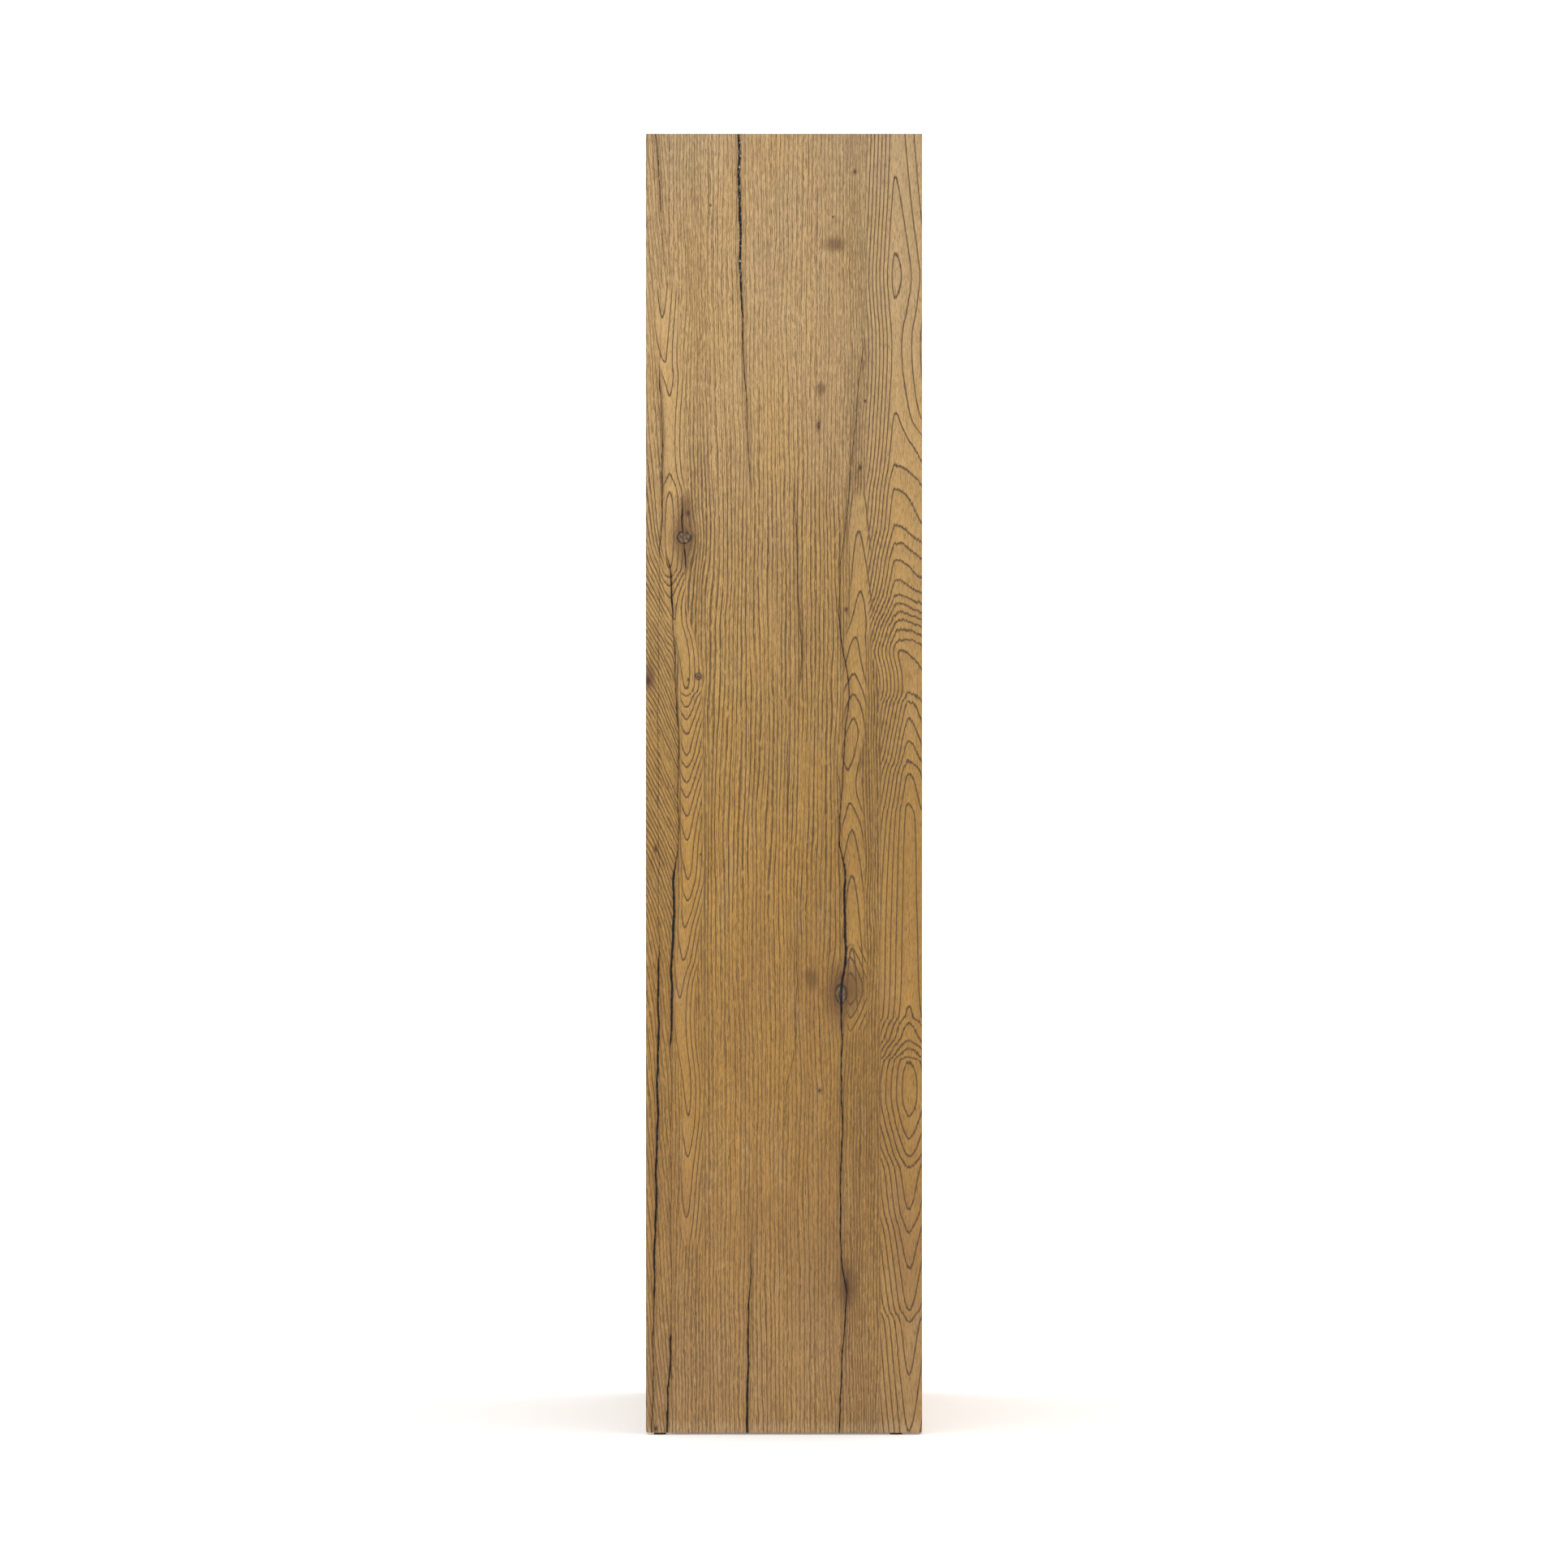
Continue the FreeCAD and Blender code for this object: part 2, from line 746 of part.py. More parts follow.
def case_pieces():
    pieces = {
        "side_panel_left": mirrored(side_panel()),
        "side_panel_right": side_panel(),
        "top_panel": top_panel(),
        "bottom_panel": deck(deck_z),
        "mid_deck": mid_deck(),
        "centre_partition": centre_partition(),
        "centre_stile": centre_stile(),
        "back_panel": back_panel(),
        "plinth_front": plinth(plinth_front_y),
        "plinth_back": plinth(plinth_back_y),
        "wall_rail": wall_rail(),
        "shelf_pins": shelf_pins(),
        "mitre_splines": group(both_sides([mitre_spline(0)])),
        "case_dowels": case_dowels(),
        "back_screws": back_screws(),
        "pivot_case_leaves": pivot_case_leaves(),
        "pivot_case_screws": pivot_case_screws(),
        "pivot_washers": pivot_washers(),
        "catch_magnets": group(both_sides(magnets(0))),
        "foot_inserts": foot_inserts(),
        "slide_case_members": slide_case_members(),
        "slide_case_screws": group(both_sides(screws(slide_screw_length, case_slide_screw_places()))),
    }
    for number, underside in enumerate(shelf_heights(), start=1):
        pieces[f"shelf_left_{number}"] = mirrored(shelf(underside))
        pieces[f"shelf_right_{number}"] = shelf(underside)
    for name, place in foot_places().items():
        pieces[f"foot_{name}"] = levelling_foot(place)
    return pieces


def door_pieces():
    left_hand = {
        "door": door_left(),
        "door_leaves": door_leaves(),
        "door_screws": door_screws(),
        "strike_plates": strike_plates(),
    }
    pieces = {f"{name}_left": piece for name, piece in left_hand.items()}
    pieces.update({f"{name}_right": mirrored(piece) for name, piece in left_hand.items()})
    return pieces


def drawer_pieces(floor_z):
    return {
        "drawer_front": drawer_front(floor_z),
        "box_front": box_front(floor_z),
        "box_back": box_back(floor_z),
        "box_side_left": mirrored(box_side(floor_z)),
        "box_side_right": box_side(floor_z),
        "box_bottom": box_bottom(floor_z),
        "box_screws": box_screws(floor_z),
        "slide_drawer_members": slide_drawer_members(floor_z),
        "slide_middle_members": slide_middle_members(floor_z),
    }


def export():
    os.makedirs("parts", exist_ok=True)
    pieces = {**case_pieces(), **door_pieces()}
    for level, floor_z in drawer_floors().items():
        pieces.update({f"{name}_{level}": piece for name, piece in drawer_pieces(floor_z).items()})
    for name, piece in pieces.items():
        if not piece.isValid():
            print("not valid:", name)
        piece.exportStep(f"parts/{name}.step")
    print(len(pieces), "nodes,", sum(len(piece.Solids) for piece in pieces.values()), "solids")


export()
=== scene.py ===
import json
import math
from functools import reduce

import bmesh
import bpy
import numpy as np
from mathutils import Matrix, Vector

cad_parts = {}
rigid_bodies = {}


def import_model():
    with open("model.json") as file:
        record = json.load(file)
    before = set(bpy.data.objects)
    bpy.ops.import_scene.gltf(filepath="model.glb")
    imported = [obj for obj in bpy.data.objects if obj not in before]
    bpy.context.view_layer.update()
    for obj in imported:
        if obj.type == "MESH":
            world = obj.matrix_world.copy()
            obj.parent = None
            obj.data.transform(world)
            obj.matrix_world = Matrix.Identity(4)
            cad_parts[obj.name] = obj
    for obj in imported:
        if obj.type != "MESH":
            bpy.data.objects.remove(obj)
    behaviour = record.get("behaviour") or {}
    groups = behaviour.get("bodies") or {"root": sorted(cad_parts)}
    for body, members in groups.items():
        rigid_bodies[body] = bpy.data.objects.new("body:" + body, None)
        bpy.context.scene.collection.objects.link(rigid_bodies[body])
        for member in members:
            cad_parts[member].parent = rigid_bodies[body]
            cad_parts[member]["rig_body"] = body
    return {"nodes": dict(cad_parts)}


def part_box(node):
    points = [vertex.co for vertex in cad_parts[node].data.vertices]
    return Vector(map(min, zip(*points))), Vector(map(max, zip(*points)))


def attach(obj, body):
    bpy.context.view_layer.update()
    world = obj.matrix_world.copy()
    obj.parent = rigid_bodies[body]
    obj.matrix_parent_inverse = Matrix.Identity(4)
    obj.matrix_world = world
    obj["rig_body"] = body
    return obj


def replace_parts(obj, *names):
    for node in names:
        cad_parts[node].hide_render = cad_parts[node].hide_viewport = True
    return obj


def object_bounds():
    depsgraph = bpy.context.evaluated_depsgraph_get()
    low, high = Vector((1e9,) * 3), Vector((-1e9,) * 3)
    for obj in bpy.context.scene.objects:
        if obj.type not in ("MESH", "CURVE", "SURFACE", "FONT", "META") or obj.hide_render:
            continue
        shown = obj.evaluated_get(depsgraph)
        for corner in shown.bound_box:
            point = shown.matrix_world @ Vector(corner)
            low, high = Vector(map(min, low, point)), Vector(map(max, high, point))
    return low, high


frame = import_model()
cadLow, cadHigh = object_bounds()
nodes = frame["nodes"]

mm = 0.001
rightwards, leftwards, backwards, forwards, upwards = (1, 0, 0), (-1, 0, 0), (0, 1, 0), (0, -1, 0), (0, 0, 1)
caseWidth, caseDepth, caseHeight = ((cadHigh - cadLow) / mm)[:]
frontY, outerX = cadLow.y / mm, cadHigh.x / mm


def linear(red, green, blue):
    # A colour picked on screen, 0 to 255, as the linear one that shaders use: ((c + 0.055) / 1.055) ^ 2.4
    return tuple(((c / 255 + 0.055) / 1.055) ** 2.4 for c in (red, green, blue)) + (1.0,)


class Wire:
    # One output socket. Sums and comparisons on it add their own Math nodes.
    def __init__(self, finish, socket):
        self.finish, self.socket = finish, socket

    def maths(self, operation, *values):
        return self.finish.add("Math", {"operation": operation}, dict(enumerate(values)))

    def __add__(self, other):
        return self.maths("ADD", self, other)

    def __sub__(self, other):
        return self.maths("SUBTRACT", self, other)

    def __rsub__(self, other):
        return self.maths("SUBTRACT", other, self)

    def __mul__(self, other):
        return self.maths("MULTIPLY", self, other)

    def __truediv__(self, other):
        return self.maths("DIVIDE", self, other)

    def __rtruediv__(self, other):
        return self.maths("DIVIDE", other, self)

    def __gt__(self, other):
        return self.maths("GREATER_THAN", self, other)

    def __abs__(self):
        return self.maths("ABSOLUTE", self)

    def least(self, other):
        return self.maths("MINIMUM", self, other)

    def most(self, other):
        return self.maths("MAXIMUM", self, other)

    def root(self):
        return self.maths("SQRT", self)

    def fraction(self):
        return self.maths("FRACT", self)

    def sine(self):
        return self.maths("SINE", self)

    def fade(self, start, end):
        # 0 at start and before, 1 at end and after, and soft between. Start may be the larger of the two.
        low, high = min(start, end), max(start, end)
        atLow = 0.0 if start < end else 1.0
        values = {"Value": self, "From Min": low, "From Max": high, "To Min": atLow, "To Max": 1.0 - atLow}
        return self.finish.add("MapRange", {"interpolation_type": "SMOOTHSTEP"}, values)


class Finish:
    # One material, built node by node
    manyPoints = 60  # a curve with more points than this runs straight from one to the next

    def __init__(self, name, **shader):
        self.material = bpy.data.materials.new(name)
        self.material.use_nodes = True
        self.tree = self.material.node_tree
        self.shader = self.tree.nodes["Principled BSDF"]
        self.set(**shader)
        self.place = self.scaled(self.add("TexCoord", output="Object"), 1 / mm)

    def set(self, **shader):
        # Sockets of the shader, named without their spaces, such as BaseColor
        for socket in self.shader.inputs:
            name = socket.name.replace(" ", "")
            if name in shader:
                self.give(socket, shader[name])

    def give(self, socket, value):
        if isinstance(value, Wire):
            self.tree.links.new(value.socket, socket)
        elif hasattr(socket.default_value, "__len__"):  # a vector's socket takes a colour without its alpha
            socket.default_value = value[:len(socket.default_value)]
        else:
            socket.default_value = value

    def add(self, kind, settings=None, values=None, output=0):
        node = self.tree.nodes.new("ShaderNode" + kind)
        for name, setting in (settings or {}).items():
            setattr(node, name, setting)
        for name, value in (values or {}).items():
            self.give(node.inputs[name], value)
        return Wire(self, node.outputs[output])

    def vector(self, x, y, z):
        return self.add("CombineXYZ", values={0: x, 1: y, 2: z})

    def scaled(self, vector, amount):  # a place, or a colour made lighter or darker
        return self.add("VectorMath", {"operation": "SCALE"}, {0: vector, "Scale": amount})

    def stretched(self, vector, factors, shift=(0, 0, 0)):
        return self.add("VectorMath", {"operation": "MULTIPLY_ADD"}, {0: vector, 1: factors, 2: shift})

    def along(self, vector, way):
        return self.add("VectorMath", {"operation": "DOT_PRODUCT"}, {0: vector, 1: way}, "Value")

    def length(self, vector):
        return self.add("VectorMath", {"operation": "LENGTH"}, {0: vector}, "Value")

    def noise(self, where, detail=2.0, roughness=0.5):
        values = {"Vector": where, "Scale": 1.0, "Detail": detail, "Roughness": roughness}
        return self.add("TexNoise", values=values)

    def blend(self, amount, first, second):
        # A Mix node for colours has its factor at 0, its colours at 6 and 7, and the result at output 2
        return self.add("Mix", {"data_type": "RGBA"}, {0: amount, 6: first, 7: second}, 2)

    def layered(self, colour, *layers):  # colours laid over a ground, each with its amount
        for amount, over in layers:
            colour = self.blend(amount, colour, over)
        return colour

    def ramp(self, value, stops):  # a colour for a value from 0 to 1, set by (position, colour) pairs
        wire = self.add("ValToRGB", values={"Fac": value})
        elements = wire.socket.node.color_ramp.elements
        for spare in range(len(stops) - 2):
            elements.new(0.5)
        for element, (position, colour) in zip(elements, stops):
            element.position, element.color = position, colour
        return wire

    def shaped(self, value, points):
        # A given course of (input, output) pairs. The curve node wants both as 0 to 1, so they are scaled.
        inputs, outputs = zip(*points)
        start, length = inputs[0], inputs[-1] - inputs[0]
        least, span = min(outputs), max(max(outputs) - min(outputs), 0.001)
        unit = [((i - start) / length, (o - least) / span) for i, o in points]
        wire = self.add("FloatCurve", values={"Value": (value - start) / length})
        mapping = wire.socket.node.mapping
        curve = mapping.curves[0]
        curve.points[0].location, curve.points[1].location = unit[0], unit[-1]
        for point in unit[1:-1]:
            curve.points.new(*point)
        for point in curve.points:
            point.handle_type = "VECTOR" if len(unit) > self.manyPoints else "AUTO_CLAMPED"
        mapping.use_clip = False
        mapping.update()
        return wire * span + least

    def bump(self, height, depth):  # depth in metres
        return self.add("Bump", values={"Height": height, "Distance": depth, "Strength": 1.0})


# Lengths in the oak are millimetres, but for relief, which is metres. On each board u runs across the grain
# and v along it. Stops are (share of the height, colour), and waves are (millimetres per radian, swing).
oak = dict(
    # Colour up the board: the wood's tone plus painted light, lighter to the top and at the very foot
    heightStops=[(0, (176, 144, 104)), (0.007, (174, 142, 101)), (0.012, (161, 126, 80)),
                 (0.06, (160, 124, 78)), (0.15, (150, 112, 64)), (0.25, (153, 114, 58)),
                 (0.35, (157, 117, 59)), (0.45, (159, 120, 60)), (0.55, (164, 127, 70)),
                 (0.66, (169, 134, 82)), (0.75, (177, 144, 97)), (0.85, (180, 149, 104)),
                 (1, (178, 149, 108))],
    colours=dict(pore=(82, 56, 28), line=(58, 40, 22), ring=(72, 52, 35), bark=(96, 68, 40),
                 smudge=(88, 59, 32), speck=(70, 40, 28), resin=(27, 22, 20), glint=(190, 184, 172),
                 gold=(180, 138, 66), grey=(160, 132, 92), heart=(62, 48, 36), heartPale=(134, 110, 80)),
    brightness=1.09, roughness=0.52, relief=0.0004,
    waves=((23.0, 0.8), (11.0, 0.5), (6.1, 0.35), (3.4, 0.22)),
)


def showFace(origin, across, along, out):
    # A board's show face: its corner, the ways across and along the grain, and the way out of the wood
    return {name: np.array(way, float) for name, way in
            dict(origin=origin, across=across, along=along, out=out).items()}


def reading(course, at):  # a given course read at any places, straight between its pairs
    return np.interp(at, *zip(*course))


def crackLine(crack, v):
    # The course with its corners eased over 24 mm, plus small sine waves so that it wanders:
    # u = (course(v - 12) + course(v) + course(v + 12)) / 3 + sum of size * sin(v / period + start)
    draw = np.random.default_rng(int(crack["course"][0][1] * 10))
    eased = sum(reading(crack["course"], v + shift) for shift in (-12, 0, 12)) / 3
    return eased + sum(size * np.sin(v / period + draw.uniform(0, 6.28)) for period, size in oak["waves"])


class OakBoard(Finish):
    # Solid oak with growth lines, pores, arched rings, knots and resin-filled cracks
    def __init__(self, name, board):
        super().__init__(name, IOR=1.46, SpecularIORLevel=0.35)
        self.board, side = board, board["face"]
        # Depth adds to the way across, so the grain turns the arris
        self.u = self.measured(side["across"] - side["out"], side["origin"])
        self.v = self.measured(side["along"], side["origin"])
        self.stations = np.linspace(0, board["length"], 200)
        self.inks = {name: linear(*shade) for name, shade in oak["colours"].items()}
        self.patch = self.grain(95, 330, 41, 3)
        self.cloud = self.grain(30, 110, 43, 2, 0.5)
        self.flow = self.pushedAside()
        self.fibre = self.grain(0.8, 46, 31, 3, 0.65, self.flow)
        self.finishBoard()

    def measured(self, way, origin):  # how far the place lies from the origin in one direction
        return self.along(self.place, tuple(way)) - float(way @ origin)

    def grain(self, wide, tall, number, detail=2.0, roughness=0.55, across=None):
        where = self.vector((across or self.u) / wide, self.v / tall, self.board["seed"] + number)
        return self.noise(where, detail, roughness)

    def nearest(self, kinds):
        # For each kind of spot, the distance to the nearest oval one, in that spot's own half widths
        ragged = self.grain(7, 12, 3, 3, 0.6) - 0.5
        plane = self.vector(self.u + ragged * 4, self.v + ragged * -5, 0)
        for kind in kinds:
            reaches = []
            for spotV, spotU, halfU, halfV in self.board[kind]:
                factors, shift = (1 / halfU, 1 / halfV, 0), (-spotU / halfU, -spotV / halfV, 0)
                reaches.append(self.length(self.stretched(plane, factors, shift)))
            yield reduce(Wire.least, reaches)

    def pushedAside(self):
        # Lines pushed aside by the knots, as water is by a post: x - x * r^2 / (distance^2 + r^2)
        flow = self.u
        for knotV, knotU, halfU, halfV in self.board["knots"]:
            x, y = self.u - knotU, (self.v - knotV) * (0.5 * halfU / halfV)
            size = (halfU * 1.9) ** 2
            flow = flow - x * (size / (x * x + y * y + size))
        return flow + (self.grain(60, 420, 7) - 0.5) * 24 + (self.grain(16, 60, 8) - 0.5) * 4

    def ringFigure(self, figure):
        # Ring number = number on the figure's axis + side term, and the side term is a hyperbola:
        # sqrt((x / pitch)^2 + blunt^2) - blunt. A line is drawn where the number is whole. The gap to it in
        # millimetres is the distance to a whole number / the slope of the number.
        v, seed, blunt, step = self.v, figure["seed"], figure["blunt"], 7.0
        x = self.u - self.shaped(v, figure["axis"])
        ragged = self.noise(self.vector(self.u / 1.7, v / 24, seed), 2, 0.6)
        swell = self.noise(self.vector(self.u / 24, v / 60, seed + 5), 2, 0.5)
        where = v + (ragged - 0.5) * figure["serration"] + (swell - 0.5) * figure["swell"]
        below, middle, above = (self.shaped(where + shift, figure["rings"]) for shift in (-step, 0, step))
        slope = (above - below) / (2 * step)
        onRight = x > 0
        rightPitch, leftPitch = self.shaped(v, figure["rightPitch"]), self.shaped(v, figure["leftPitch"])
        pitch = rightPitch * onRight + leftPitch * (1 - onRight)
        side = x / pitch
        reach = (side * side + blunt * blunt).root()
        sideSlope = side / (reach * pitch)
        gradient = (slope * slope + sideSlope * sideSlope).root() + 0.006
        number = middle + reach - blunt
        gap = abs((number + 0.5).fraction() - 0.5) / gradient

        left, right = -figure["leftReach"], figure["rightReach"]
        bottom, top = figure["bottom"], figure["top"]
        zone = x.fade(left - 4, left + 2) * x.fade(right + 4, right - 2)
        zone = zone * v.fade(bottom - 15, bottom + 15) * v.fade(top + 15, top - 15)
        broad = abs(slope) / gradient * 0.65 + 0.6  # lines are broader where they cross the grain
        line = (gap / broad).fade(figure["line"] * 1.3, figure["line"] * 0.3) * zone
        return line, (number.fraction() - 0.5) * zone, zone

    def figures(self):  # the lines and tones of all arched figures, and how far a place belongs to one
        lines, tones, zones = zip(*[self.ringFigure(figure) for figure in self.board["figures"]])
        return reduce(Wire.most, lines), reduce(Wire.__add__, tones), reduce(Wire.most, zones)

    def lineNumber(self):
        # Counts up across the board by 1 / pitch. There is a growth line for each whole number.
        pitches = self.board["linePitch"]
        steps = np.linspace(pitches[0][0], pitches[-1][0], 25)
        counts = np.cumsum((steps[1] - steps[0]) / reading(pitches, steps))
        number = self.shaped(self.flow, list(zip(steps.tolist(), counts.tolist())))
        if "slant" in self.board:  # lines that run slantwise on the left of a crack
            course = crackLine(self.board["cracks"][self.board["slantCrack"]], self.stations)
            leftSide = (self.u - self.shaped(self.v, list(zip(self.stations, course)))).fade(0.6, -0.6)
            number = number + self.shaped(self.v, self.board["slant"]) * leftSide / pitches[0][1]
        return number

    def lineSet(self, number, times, offset, thickness, tall, dashFrom, dashTo):
        # Lines of one thickness, each of its own strength, broken into dashes
        count, seed = number * times + offset, self.board["seed"] + offset
        pitch = self.shaped(self.u, self.board["linePitch"])
        gap = abs(count.fraction() - 0.5) * pitch / times
        each = self.noise(self.vector(count * 0.9, self.v / 240, seed), 1, 0.5)
        dash = self.noise(self.vector(count * 1.9, self.v / tall, seed), 2, 0.6)
        line = gap.fade(thickness * 1.3, thickness * 0.35)
        return line * each.fade(0.14, 0.56) * dash.fade(dashFrom, dashTo)

    def cracks(self):
        # Resin, from the distance to the nearest crack's edge, and a stain beside the cracks that are open
        fray = (self.grain(3, 9, 53, 3, 0.7) - 0.5) * 1.2
        gaps, stains = [], []
        for crack in self.board["cracks"]:
            course = self.shaped(self.v, list(zip(self.stations, crackLine(crack, self.stations))))
            half = self.shaped(self.v, crack["halfWidth"])
            gaps.append(abs(self.u - course + fray * 0.7) - half * (fray + 1))
            stains.append(gaps[-1].fade(9, 0.2) * half.fade(-0.1, 0.6))
        return reduce(Wire.least, gaps).fade(0.4, -0.25), reduce(Wire.most, stains)

    def ground(self, ringTone):
        # The wood: colour along the board (its tone and painted light) or in patches, with gold and grey
        # clouds, lighter and darker
        stops = [(position, linear(*shade)) for position, shade in oak["heightStops"]]
        along = self.v / self.board["length"] if self.board["rampAlong"] else self.patch
        colour = self.layered(
            self.ramp(along, stops),
            (self.patch.fade(0.35, 0.72) * 0.3, self.inks["gold"]),
            (self.cloud.fade(0.5, 0.8) * 0.3, self.inks["grey"]))
        fleck = self.grain(1.7, 5.5, 81, 1, 0.5)
        tone = (self.fibre - 0.5) * 0.7 + (fleck - 0.5) * 0.36
        tone = tone + (self.cloud - 0.5) * 0.14 + (self.patch - 0.5) * 0.1 + oak["brightness"]
        return self.scaled(colour, self.shaped(self.u, self.board["tone"]) * tone * (ringTone * -0.12 + 1))

    def knotLayers(self, knot, heart):  # rings around, a cracked heart and a dark rim
        rings = ((knot * 8.5 + self.cloud * 3).sine() * 0.5 + 0.5) * knot.fade(3.0, 1.2)
        check = self.grain(4, 6, 61, 3, 0.6).fade(0.35, 0.6)
        core = self.blend(check, self.inks["heart"], self.inks["heartPale"])
        rim = abs(knot - 1).fade(0.3, 0.06) * self.grain(7, 7, 63).fade(0.25, 0.5)
        return (rings * 0.5, self.inks["bark"]), (heart * 0.75, core), (rim * 0.85, self.inks["resin"])

    def resin(self):  # dark, with pale glints
        glint = self.grain(2, 7, 71, 2, 0.7).fade(0.58, 0.7) * self.shaped(self.v, self.board["glint"])
        return self.blend(glint, self.inks["resin"], self.inks["glint"])

    def finishBoard(self):
        inks, fibre, number = self.inks, self.fibre, self.lineNumber()
        ringLine, ringTone, figured = self.figures()
        lines = self.lineSet(number, 1, 0.3, 1.3, 24, 0.27, 0.46) * (1 - figured * 0.92)
        lines = lines * self.shaped(self.v, self.board["lineStrength"])
        hairs = self.lineSet(number, 2.3, 7.7, 0.6, 15, 0.38, 0.58) * (1 - figured * 0.7)
        pores = self.grain(0.75, 13, 21, 2, 0.6, self.flow).fade(0.52, 0.68)
        knot, speck, smudge = self.nearest(("knots", "specks", "smudges"))
        heart = knot.fade(1.05, 0.75)
        filled, halo = self.cracks()
        colour = self.layered(
            self.ground(ringTone),
            (pores * 0.55, inks["pore"]),
            (hairs * 0.8, inks["pore"]),
            (lines * 0.85, inks["line"]),
            (ringLine * (fibre.fade(0.25, 0.6) * 0.35 + 0.62), inks["ring"]),
            (halo * 0.3, inks["bark"]),
            (smudge.fade(1.9, 0.3) * (fibre * 0.7 + 0.3), inks["smudge"]),
            *self.knotLayers(knot, heart),
            (speck.fade(2.0, 0.8) * 0.5, inks["bark"]),
            (speck.fade(0.95, 0.5) * 0.85, inks["speck"]),
            (filled, self.resin()))
        rough = (fibre - 0.5) * 0.16 + pores * 0.1 + oak["roughness"] - (filled + heart * 0.4).least(1) * 0.2
        relief = fibre * 0.12 - pores * 0.3 - filled
        self.set(BaseColor=colour, Roughness=rough, Normal=self.bump(relief, oak["relief"]))


